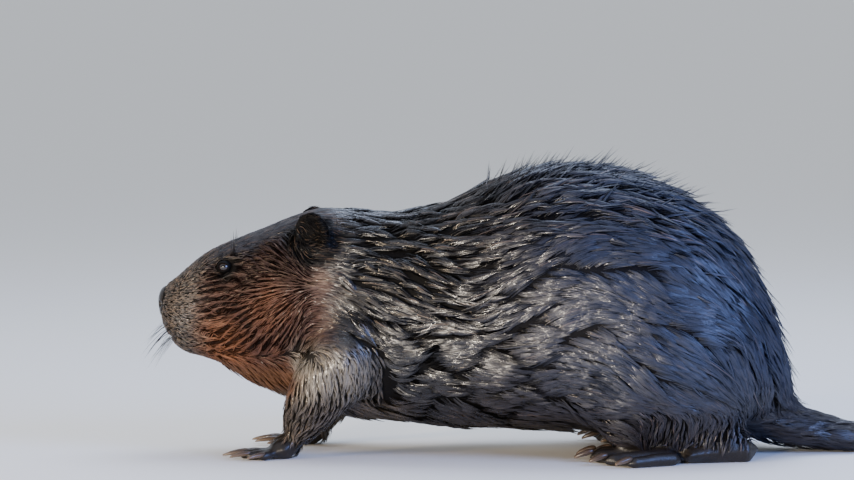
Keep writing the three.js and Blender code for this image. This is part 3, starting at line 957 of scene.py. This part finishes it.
# %% Give each hair its thickness
def assemble(rings, ups, thick, tone, root_map, roots, draw):
    """Puts three-sided tapered tubes round hairs, locks x hairs x rings x 3, shaded partly like `ups`."""
    count, hairs = rings.shape[:2]
    tangent = unit(np.diff(rings, axis=2, append=2 * rings[:, :, -1:] - rings[:, :, -2:-1]))
    across = unit(np.cross(ups[:, :, None], tangent))
    rise = np.cross(tangent, across)
    half = thick[:, None] / 2 * MM * draw.uniform(0.8, 1.25, (count, hairs))
    points = np.empty((count, hairs, HAIR_POINTS, 3))
    normals = np.broadcast_to(ups[:, :, None], points.shape).copy()
    for ring, taper in enumerate(TAPER[:-1]):
        for k, (sideways, upward) in enumerate(SIDES_OF_HAIR):
            shift = across[:, :, ring] * sideways + rise[:, :, ring] * upward
            points[:, :, 3 * ring + k] = rings[:, :, ring] + shift * (half * taper)[..., None]
            bow = tangent[:, :, ring] * FILM_BOW * (2 * RINGS[ring] - 1)
            normals[:, :, 3 * ring + k] = unit(ups + shift * FILM_RELIEF + bow)
    points[:, :, -1] = rings[:, :, -1]
    normals[:, :, -1] = unit(ups + tangent[:, :, -1] * FILM_BOW)
    points[..., 2] = np.maximum(points[..., 2], FLOOR_CLEARANCE * MM)
    along = np.append(np.repeat(RINGS[:-1], 3), 1.0)
    along = np.broadcast_to(along, (count, hairs, HAIR_POINTS))
    tone = np.broadcast_to(np.clip(tone, 0, 1)[..., None], along.shape)
    column = (np.arange(hairs) + 0.5)[None, :, None] / hairs - 0.5
    corner = np.append(np.tile([-0.3, 0.0, 0.3], len(RINGS) - 1), 0.0) / hairs
    patch = np.stack(np.broadcast_arrays(column + corner, along - 0.5), -1) * UV_PATCH
    made = {"points": points, "normals": normals, "tone": tone, "along": along, "roots": roots}
    return made | {"map": patch + root_map[:, None, None]}


# %% Gather many hairs in one mesh
def hair_mesh(name, parts, material):
    """One mesh from the chosen locks of several combs."""
    flat = {}
    for key, size in {"points": 3, "normals": 3, "map": 2, "tone": 1, "along": 1}.items():
        flat[key] = np.concatenate([part[key].reshape(-1, size) for part in parts])
    hairs = len(flat["points"]) // HAIR_POINTS
    faces = (HAIR_FACES[None] + np.arange(hairs)[:, None, None] * HAIR_POINTS).reshape(-1, 3)
    mesh = bpy.data.meshes.new(name)
    mesh.vertices.add(len(flat["points"]))
    mesh.vertices.foreach_set("co", flat["points"].ravel())
    mesh.loops.add(faces.size)
    mesh.loops.foreach_set("vertex_index", faces.ravel())
    mesh.polygons.add(len(faces))
    mesh.polygons.foreach_set("loop_start", np.arange(0, faces.size, 3))
    mesh.polygons.foreach_set("use_smooth", np.ones(len(faces), bool))
    mesh.update(calc_edges=True)
    mesh.normals_split_custom_set_from_vertices(flat["normals"])
    bake_map = mesh.uv_layers.new(name="OFBake")
    bake_map.data.foreach_set("uv", flat["map"][faces.ravel()].ravel())
    for key in ("tone", "along"):
        mesh.attributes.new(key, "FLOAT", "POINT").data.foreach_set("value", flat[key].ravel())
    mesh.materials.append(material)
    piece = link(name, mesh)
    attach(piece, "root")
    print(name, len(faces), "triangles")
    return piece


# %% Material of the hair
# Wet guard hair: keratin (IOR 1.55) in a film of water with beads of 1.5 mm, coarser than real ones so that
# they show. The film gives the glints. In the partings and at the edges of locks, where the tone attribute is
# low, the colour is darkened nearly to black as painted shade, and the film is turned down there too.
def wet_guard_hair():
    material, tree, shader = start_material("wet_guard_hair")
    mark, place, head, rear, snout = markings(tree)
    tone, along = attribute(tree, "tone"), attribute(tree, "along")
    # share of each hair outside the painted parting shade
    outside_parting_shade = soft_step(tree, tone, 0.05, 0.55)
    painted_shade = blend_colour(tree, 0.92, mark, "#040404")
    light = blend_colour(tree, 0.16, mark, "#d8b08c")
    shade = lay_over(
        tree,
        painted_shade,
        (outside_parting_shade, mark),
        (times(tree, soft_step(tree, tone, 0.6, 1.0), 0.8), light),
        # painted shade: each hair darkens towards its root, where the hair over it shades it
        (times(tree, soft_step(tree, along, 0.4, 0.0), 0.45), "#0a0807"),
    )
    dull = sum_of(tree, "ADD", times(tree, head, 0.2), times(tree, rear, 0.12))
    rough = sum_of(tree, "ADD", spread_over(tree, noise(tree, place, 14), 0.2, 0.34), dull)
    film = rest_of(tree, times(tree, head, 0.55))
    film = sum_of(tree, "SUBTRACT", film, times(tree, rear, 0.35))
    film = sum_of(tree, "ADD", film, times(tree, snout, 0.7))
    film = times(tree, film, outside_parting_shade)
    beads = soft_step(tree, noise(tree, place, 1.5, 1.0), 0.54, 0.64)
    beads = sum_of(tree, "ADD", times(tree, beads, 0.88), 0.12)
    finish_shader(
        tree,
        shader,
        Base_Color=shade,
        Roughness=rough,
        Specular_IOR_Level=times(tree, film, 0.47),
        Coat_Weight=times(tree, film, beads),
        Coat_Roughness=0.08,
        IOR=1.55,
    )
    return material


HAIR = wet_guard_hair()

# %% [markdown]
# ## Where each kind of lock grows
# Few kinds are enough: small locks in lanes on the face, plated ones on the trunk, long narrow ones on neck
# and back, hanging ones under the throat, short ones on the legs, fine ones on the ears, and stray spikes on
# crest and rump. Each kind says how many hairs a lock holds, and how long, wide, deep and arched it is, as
# numbers or as functions of place. One kind for all would be simpler, but would look combed from end to end.

# %% Shares of the skin for each kind
# Each function says for many places at once, from 0 to 1, how much of the skin there belongs to one kind.
def eye_share(places):
    near = np.min([np.linalg.norm(places - EYES[side], axis=1) for side in SIDES], axis=0) / MM
    return (near < 7.7) * 1.0


def bald(places):
    return np.max([foot_share(places), nose_share(places), paddle_share(places), eye_share(places)], axis=0)


def leg_share(places):
    low = fall(height(places), 40, 60) * (outward(places) > 60) * (behind(places) > 440)
    return np.maximum(foreleg_share(places), low) * (1 - face_share(places))


def face_share(places):
    front = fall(behind(places), 150, 172)
    return front * (1 - throat_share(places)) * (1 - 0.9 * foreleg_share(places))


def clear_of(share, places, *others):
    """What is left of a share of the skin where others take theirs."""
    for other in others:
        share = share * (1 - other(places))
    return share


def hanging_share(places):
    return clear_of(throat_share(places), places, leg_share, ear_share)


def narrow_share(places):
    share = np.maximum(neck_share(places), back_share(places))
    return clear_of(share, places, face_share, leg_share, ear_share)


def broad_share(places):
    others = 1 - np.maximum(narrow_share(places), hanging_share(places))
    return clear_of(others, places, face_share, leg_share, ear_share)


ROOTS_TRIED = 5.0  # for each lock that finds room
ROOTS_CLOSEST = 0.86


def grow(spacing, share, kind, draw):
    """Roots locks of a kind that far apart where its share of the skin is above chance, and combs them."""
    apart = spacing(surface.middles) if callable(spacing) else np.full(len(surface.middles), spacing)
    density = ROOTS_TRIED / apart**2 * (share(surface.middles) > 0.02) * (bald(surface.middles) < 0.5)
    places, root_map = surface.pick(density, draw)
    chance = draw.uniform(size=len(places)) < share(places)
    places, root_map = places[chance], root_map[chance]
    apart = spacing(places) if callable(spacing) else np.full(len(places), spacing)
    kept = keep_apart(places, apart * ROOTS_CLOSEST)
    places, root_map = places[kept], root_map[kept]
    measures = {key: value(places) if callable(value) else value for key, value in kind.items()}
    return comb(places, root_map, measures, draw)


# %% Grow the coat
# Lengths are in millimetres. Turns, rolls and rises that vary are shares or radians.
# edge: how far the hairs at a lock's edges are darkened, as painted shade of the parting
PLAIN = {
    "reach": 0.75, "arch": 0.7, "flat": 2, "edge": 0.8, "roll": 0.35, "mottle": 0.14, "turn": 0.1,
    "uneven": 0.12, "stray": 0.1, "ruffle": 0.3, "stand": 0.0, "point": 0.1, "plates": 0.0,
    "lanes": False,
}
FACE = PLAIN | {
    "hairs": 3, "length": lambda p: 7 + 17 * ramp(behind(p), 15, 100),
    "width": lambda p: 1.6 + 1.0 * ramp(behind(p), 20, 120),
    "depth": lambda p: coat_depth(p) / MM * 0.5 + 0.3,
    "thick": lambda p: 0.58 + 0.26 * ramp(behind(p), 20, 120), "turn": 0.05, "arch": 0.3,
    "mottle": lambda p: 0.14 + 0.22 * fall(behind(p), 30, 66), "lanes": True,
}
PLATED = PLAIN | {
    "hairs": 6, "length": 31, "width": 4.6, "depth": lambda p: coat_depth(p) / MM * 0.62, "thick": 0.84,
    "reach": 0.8, "arch": 0.5, "edge": 0.25, "roll": 0.1, "mottle": 0.06, "turn": 0.035, "uneven": 0.03,
    "ruffle": 0.15, "plates": 1.0,
}
NARROW = PLAIN | {
    "hairs": 12, "length": 48, "width": 9.0, "depth": lambda p: coat_depth(p) / MM * 0.66, "thick": 1.0,
    "reach": 0.6, "arch": 2.4, "flat": 2.5, "edge": 0.95, "roll": 0.7, "turn": 0.14, "plates": 0.5,
    "stand": lambda p: 5 * back_share(p), "point": 0.05,
}
HANGING = PLAIN | {
    "hairs": 7, "length": 30, "width": 4.6, "depth": lambda p: coat_depth(p) / MM * 0.7, "thick": 0.85,
    "arch": 1.2, "stand": 3.0, "point": 0.05,
}
LEG = PLAIN | {
    "hairs": 5, "length": 15, "width": 3.6,
    "depth": lambda p: np.minimum(coat_depth(p) / MM * 0.6, 4) + 0.4, "thick": 0.7, "turn": 0.16,
    "uneven": 0.2,
}
EAR = PLAIN | {
    "hairs": 3, "length": 9, "width": 2, "depth": 0.4, "thick": 0.5, "turn": 0.25, "arch": 0.2,
    "stand": 2.5,
}
SPIKE = PLAIN | {
    "hairs": 5, "length": 30, "width": 3.4, "depth": lambda p: coat_depth(p) / MM * 0.8, "thick": 0.62,
    "reach": 0.95, "arch": 0.5, "turn": 0.5, "stand": 17.0, "point": 0.05,
}
WISP = SPIKE | {"length": 46, "width": 4.0, "thick": 0.6, "turn": 0.25, "stand": 7.0}


def crest_share(places):
    back = behind(places)
    top = ramp(height(places), 222, 240) * (1 - 0.6 * ramp(outward(places), 20, 60))
    return top * ramp(back, 290, 320) * fall(back, 500, 540)


def wisp_share(places):
    back = behind(places)
    return ramp(back, 470, 540) * ramp(height(places), 60, 90) * fall(back, 596, 604)


def face_spacing(places):
    return 1.75 + 0.85 * ramp(behind(places), 20, 110)


def face_but_ears(places):
    return clear_of(face_share(places), places, ear_share)


draw = np.random.default_rng(8)
combs = [
    grow(face_spacing, face_but_ears, FACE, draw),
    grow(4.95, broad_share, PLATED, draw),
    grow(9.5, narrow_share, NARROW, draw),
    grow(5.0, hanging_share, HANGING, draw),
    grow(4.0, leg_share, LEG, draw),
    grow(2.0, ear_share, EAR, draw),
    grow(9.0, crest_share, SPIKE, draw),
    grow(17.0, wisp_share, WISP, draw),
]
print("locks:", [len(made["roots"]) for made in combs])

# %% Part the coat into pieces by place
# Each zone ends that many millimetres behind the nose. None holds more triangles than one piece may.
ZONES = {"muzzle": 46, "face": 90, "cheek": 130, "nape": 200, "shoulder": 270}
ZONES |= {"ribs": 350, "loin": 430, "hip": 510, "rump": 900}
edges = [0, *ZONES.values()]
for side, sign in SIDES.items():
    for zone, start, end in zip(ZONES, edges[:-1], edges[1:]):
        parts = []
        for made in combs:
            back = behind(made["roots"])
            own = (back >= start) & (back < end) & ((made["roots"][:, 1] >= 0) == (sign > 0))
            if own.any():
                parts.append({key: value[own] for key, value in made.items()})
        hair_mesh(f"coat_{zone}_{side}", parts, HAIR)

# %% [markdown]
# ## Whiskers and brow bristles
# A beaver feels its way with stiff whiskers from the sides of the muzzle and a few long bristles over each
# eye. They are single hairs, so each is laid from its root along its own way, with a little droop towards the
# tip. Curves with a bevel would be simpler by hand, but would carry no place on the skin's map.

# %% Plant single bristles
WHISKER = {"count": 17, "back": (4, 20), "up": (104, 127), "out": 30, "length": (26, 48), "thick": 0.5}
BROW = {"count": 7, "back": (68, 74), "up": (187, 192), "out": 33, "length": (16, 27), "thick": 0.8}


def bristles(kind, side, heading, droop, draw):
    count = kind["count"]
    start = np.column_stack([
        NOSE_TIP + draw.uniform(*kind["back"], count) * MM,
        np.full(count, SIDES[side] * kind["out"] * MM),
        draw.uniform(*kind["up"], count) * MM,
    ])
    roots, normals = surface.nearest(start)
    ways = unit(np.array(heading) * (1, SIDES[side], 1) + normals * 0.5 + draw.normal(size=(count, 3)) * 0.13)
    lengths = draw.uniform(*kind["length"], count)[:, None] * MM
    fall = np.array([0, 0, droop])
    rings = np.stack([roots + ways * lengths * t + fall * lengths * t**2 for t in RINGS], 1)
    sideways = unit(np.cross(ways, (0.3, 0.2, 1.0)))
    tone = draw.uniform(0.2, 0.8, (count, 1))
    thick = np.full(count, kind["thick"])
    return assemble(rings[:, None], sideways[:, None], thick, tone, surface.map_at(roots), roots, draw)


# Bristle: dry keratin, smooth enough for a thin line of light.
BRISTLE, tree, shader = start_material("dark_bristle")
finish_shader(tree, shader, Base_Color="#231c18", Roughness=0.35, IOR=1.55)
draw = np.random.default_rng(21)
for side in SIDES:
    parts = [
        bristles(WHISKER, side, (-0.55, 0.75, -0.28), -0.25, draw),
        bristles(BROW, side, (0.22, 0.25, 1.0), 0.0, draw),
    ]
    hair_mesh(f"bristles_{side}", parts, BRISTLE)

# %% [markdown]
# ## Eyes
# The eye of a beaver is small, round and so dark that pupil and iris can hardly be told apart. It is a ball
# with a slight bulge in front, whose wet film gives the one bright glint of the head. A clear shell over an
# iris would be closer to life, but at this size it would only cost light.

# %% Model the eyeballs
# Wet eye: IOR of the cornea, 1.38, under a film of tears that makes it mirror-smooth.
def eye_material():
    material, tree, shader = start_material("wet_dark_eye")
    from_pupil = attribute(tree, "from_pupil", "Vector")
    across = add(tree, "ShaderNodeVectorMath", {0: from_pupil}, operation="LENGTH").outputs["Value"]
    iris = blend_colour(tree, noise(tree, place_on_animal(tree), 0.7), "#110a06", "#22150c")
    pupil, rim = soft_step(tree, across, 2.0, 1.7), soft_step(tree, across, 3.9, 4.4)
    tone = lay_over(tree, iris, (pupil, "#020202"), (rim, "#0d0908"))
    finish_shader(
        tree, shader, Base_Color=tone, Roughness=0.12, IOR=1.38, Coat_Weight=1.0, Coat_Roughness=0.02
    )
    return material


EYE = eye_material()
CORNEA_BULGE = 0.5
CORNEA_RADIUS = 4.2
LID_CLEARANCE = 0.1
for side in SIDES:
    bpy.ops.object.select_all(action="DESELECT")
    ball = (EYE_RADIUS - LID_CLEARANCE) * MM
    bpy.ops.mesh.primitive_uv_sphere_add(segments=48, ring_count=32, radius=ball, location=EYES[side])
    bpy.ops.object.transform_apply(location=True, rotation=True, scale=True)
    eye = bpy.context.active_object
    eye.name = f"eyeball_{side}"
    backward, up, out = eye_axes(side)
    points = points_of(eye)
    from_eye = (points - EYES[side]) / MM
    gone = np.linalg.norm(from_eye - (from_eye @ out)[:, None] * out, axis=1)
    bulge = CORNEA_BULGE * fall(gone, 0, CORNEA_RADIUS) * (from_eye @ out > 0)
    move_points(eye, points + out * bulge[:, None] * MM)
    flat = np.column_stack([from_eye @ backward, from_eye @ up, np.where(from_eye @ out > 0, 0.0, 9.0)])
    eye.data.attributes.new("from_pupil", "FLOAT_VECTOR", "POINT").data.foreach_set("vector", flat.ravel())
    shade_smooth(eye)
    eye.data.materials.append(EYE)
    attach(eye, "root")
    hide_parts(f"eye_{side}")
print("eyeballs at", [np.round(centre, 4).tolist() for centre in EYES.values()])

# %% [markdown]
# ## Claws
# The claws are the solids' own, grown back from their tips into the toes and rounded by a subdivision
# surface. Their horn is dark brown, and paler near the floor. Modelling twenty new claws would bring nothing,
# since each is only a curved cone.

# %% Round the claws
# Claw horn: keratin (IOR 1.54), worn smooth, with streaks of 2.5 mm.
def claw_material():
    material, tree, shader = start_material("claw_horn")
    place = place_on_animal(tree)
    up = add(tree, "ShaderNodeSeparateXYZ", {"Vector": place}).outputs["Z"]
    tone = blend_colour(tree, noise(tree, place, 2.5), "#2a211b", "#4a3b30")
    tone = blend_colour(tree, soft_step(tree, up, 9 * MM, 2 * MM), tone, "#6d5a48")
    finish_shader(tree, shader, Base_Color=tone, Roughness=0.32, IOR=1.54)
    return material


CLAW = claw_material()
CLAW_GROWTH = 1.45
CLAW_FLOOR_CLEARANCE = 0.3
for side in SIDES:
    for pair in ("fore", "hind"):
        nodes = [f"{pair}_claw_{side}_{digit}" for digit in range(1, 6)]
        joined = bmesh.new()
        toes = Vector(centre_of(f"{pair}_foot_{side}"))
        for node in nodes:
            claw = bmesh.new()
            claw.from_mesh(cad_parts[node].data)
            bmesh.ops.remove_doubles(claw, verts=claw.verts, dist=1e-6)
            tip = max((vertex.co.copy() for vertex in claw.verts), key=lambda spot: (spot - toes).length)
            for vertex in claw.verts:
                vertex.co = tip + (vertex.co - tip) * CLAW_GROWTH
                vertex.co.z = max(vertex.co.z, CLAW_FLOOR_CLEARANCE * MM)
            grown = mesh_from(claw, node)
            joined.from_mesh(grown)
            bpy.data.meshes.remove(grown)
        name = f"claws_{pair}_{side}"
        claws = link(name, mesh_from(joined, name))
        apply_modifier(claws, "SUBSURF", levels=2, render_levels=2)
        shade_smooth(claws)
        claws.data.materials.append(CLAW)
        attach(claws, "root")
        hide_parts(*nodes)
        print(claws.name, len(claws.data.polygons), "faces")

# %% [markdown]
# ## Scales of the tail
# The paddle is nearly hairless, and covered by leathery scales of about 5 mm, in staggered rows like tiles.
# Each is a low domed hexagon set on the skin, above and below. Bump alone would be lighter, but would leave
# the tail's edge smooth.

# %% Set scales on the paddle
SCALE_LENGTH, SCALE_WIDTH, SCALE_RISE = 5.4, 4.4, 0.55
ROW_STEP, COLUMN_STEP = 0.78, 1.02  # shares of a scale's length and width from one to the next
TAIL_HEADING = unit(np.array([1.0, 0.42, 0.0]))
tail_low, tail_high = (np.array(corner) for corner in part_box("tail_paddle"))
span = np.arange(-160, 161)  # more rows and columns than the paddle holds
rows, columns = np.meshgrid(span, span, indexing="ij")
sideways = np.array([-TAIL_HEADING[1], TAIL_HEADING[0], 0])
step_along = (rows * SCALE_LENGTH * ROW_STEP).ravel()[:, None] * MM
step_across = ((columns + 0.5 * (rows % 2)) * SCALE_WIDTH * COLUMN_STEP).ravel()[:, None] * MM
grid = (tail_low + tail_high) / 2 + TAIL_HEADING * step_along + sideways * step_across
grid = grid[((grid > tail_low) & (grid < tail_high))[:, :2].all(axis=1)]
spots, ups = [], []
for way in (1.0, -1.0):
    for x, y, _ in grid.tolist():
        hit, normal, _, _ = surface.tree.ray_cast((x, y, way * 0.2), (0, 0, -way))
        if hit is not None:
            spots.append(hit)
            ups.append(normal)
spots, ups = np.array(spots), np.array(ups)
on_paddle = paddle_share(spots) > 0.6
spots, ups = spots[on_paddle], ups[on_paddle]
ahead = unit(TAIL_HEADING - ups * (ups @ TAIL_HEADING)[:, None])
beside = np.cross(ups, ahead)
around = np.arange(6) * math.tau / 6
size_draw = np.random.default_rng(5).uniform(0.9, 1.05, (len(spots), 1, 1))
rim = ahead[:, None] * np.cos(around)[:, None] * SCALE_LENGTH / 2
rim = rim + beside[:, None] * np.sin(around)[:, None] * SCALE_WIDTH / 2
rim = rim * size_draw * MM
high = spots[:, None] + ups[:, None] * SCALE_RISE * MM
crown = spots[:, None] + rim * 0.8 + ups[:, None] * SCALE_RISE * 0.6 * MM
foot = spots[:, None] + rim - ups[:, None] * 0.3 * MM
points = np.concatenate([high, crown, foot], axis=1)
points[:, :, 2] = np.maximum(points[:, :, 2], 0.05 * MM)
ring = np.arange(6)
after = (ring + 1) % 6
faces = np.concatenate([
    np.column_stack([np.zeros(6, int), 1 + ring, 1 + after]),
    np.column_stack([1 + ring, 7 + ring, 7 + after]),
    np.column_stack([1 + ring, 7 + after, 1 + after]),
    np.column_stack([np.full(4, 7), 7 + ring[2:], 7 + ring[1:-1]]),
])
faces = (faces[None] + 13 * np.arange(len(spots))[:, None, None]).reshape(-1, 3)
mesh = bpy.data.meshes.new("tail_scales")
mesh.from_pydata(points.reshape(-1, 3).tolist(), [], faces.tolist())
scales = link("tail_scales", mesh)
shade_smooth(scales)


# Tail scale: leathery horn, damp, with a grain of 0.8 mm and darker blots of 1.5 and 12 mm.
def tail_leather():
    material, tree, shader = start_material("scaly_tail_leather")
    place = place_on_animal(tree)
    tone = blend_colour(tree, noise(tree, place, 12), "#23211f", "#3d3935")
    tone = blend_colour(tree, noise(tree, place, 1.5), tone, "#191716")
    grain = bump(tree, noise(tree, place, 0.8), 0.4, 0.2)
    finish_shader(tree, shader, Base_Color=tone, Roughness=0.38, IOR=1.45, Normal=grain)
    return material


scales.data.materials.append(tail_leather())
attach(scales, "root")
print("scales:", len(spots), "with", len(faces), "triangles")

# %% [markdown]
# ## Light, floor and camera
# Water on dark hair shows as glints, so two fairly small warm lamps stand low, one to the animal's left and
# one before its nose. A wide cool lamp hangs overhead and another stands high behind the rump, for the blue
# sheen of a wet back. One even light would be softer, but would make the coat milky. The camera looks at the
# left side from a little above the ground and from far off, as a wildlife lens would.

# %% Floor, world and lamps
bpy.ops.mesh.primitive_plane_add(size=400, location=(0, 0, 0))
floor = bpy.context.active_object
floor.name = "studio_floor"
FLOOR, tree, shader = start_material("pale_floor")
finish_shader(tree, shader, Base_Color="#efece6", Roughness=0.85)
floor.data.materials.append(FLOOR)

world = bpy.data.worlds.new("studio")
world.use_nodes = True
sky = world.node_tree
background = sky.nodes["Background"]
background.inputs["Color"].default_value = colour("#d3dae6")
way = add(sky, "ShaderNodeTexCoord").outputs["Generated"]
toward_back = add(sky, "ShaderNodeVectorMath", {0: way, 1: (0.0, 0.8, 0.6)}, operation="DOT_PRODUCT")
inputs = {"Value": toward_back.outputs["Value"]}
inputs |= {"From Min": -0.5, "From Max": 0.9, "To Min": 0.22, "To Max": 1.5}
glow = add(sky, "ShaderNodeMapRange", inputs)
sky.links.new(glow.outputs["Result"], background.inputs["Strength"])
bpy.context.scene.world = world


def lamp(name, place, aim, size, watts, tint):
    light = bpy.data.lights.new(name, "AREA")
    light.shape, light.size, light.energy, light.color = "DISK", size, watts, colour(tint)[:3]
    holder = link(name, light)
    holder.location = place
    holder.rotation_euler = (Vector(aim) - Vector(place)).to_track_quat("-Z", "Y").to_euler()


lamp("key", (-1.2, -3.1, 0.34), (0, 0, 0.12), 0.4, 108, "#fff1dc")
lamp("low_sun", (-2.3, -1.5, 0.55), (-0.3, 0, 0.12), 0.35, 42, "#ffe3bd")
lamp("sky", (0.3, 0.9, 2.2), (0, 0, 0.15), 1.6, 42, "#c5d6f5")
lamp("rear_sky", (2.1, -1.7, 1.3), (0.2, 0, 0.12), 1.7, 120, "#86a6f5")

# %% Camera
PICTURE = (854, 480)
METRES_PER_PIXEL = 0.95 * MM
NOSE_PIXEL = 158
FLOOR_PIXEL = 452
CAMERA_DISTANCE = 4.0
CAMERA_ELEVATION = math.radians(3.5)
SENSOR = 36.0

aim_back = NOSE_TIP + (PICTURE[0] / 2 - NOSE_PIXEL) * METRES_PER_PIXEL
aim = Vector((aim_back, 0, (FLOOR_PIXEL - PICTURE[1] / 2) * METRES_PER_PIXEL))
camera_data = bpy.data.cameras.new("camera")
camera_data.sensor_width = SENSOR
camera_data.lens = SENSOR * CAMERA_DISTANCE / (PICTURE[0] * METRES_PER_PIXEL)
camera = link("camera", camera_data)
away = Vector((0, -math.cos(CAMERA_ELEVATION), math.sin(CAMERA_ELEVATION)))
camera.location = aim + away * CAMERA_DISTANCE
camera.rotation_euler = (-away).to_track_quat("-Z", "Y").to_euler()
bpy.context.scene.camera = camera
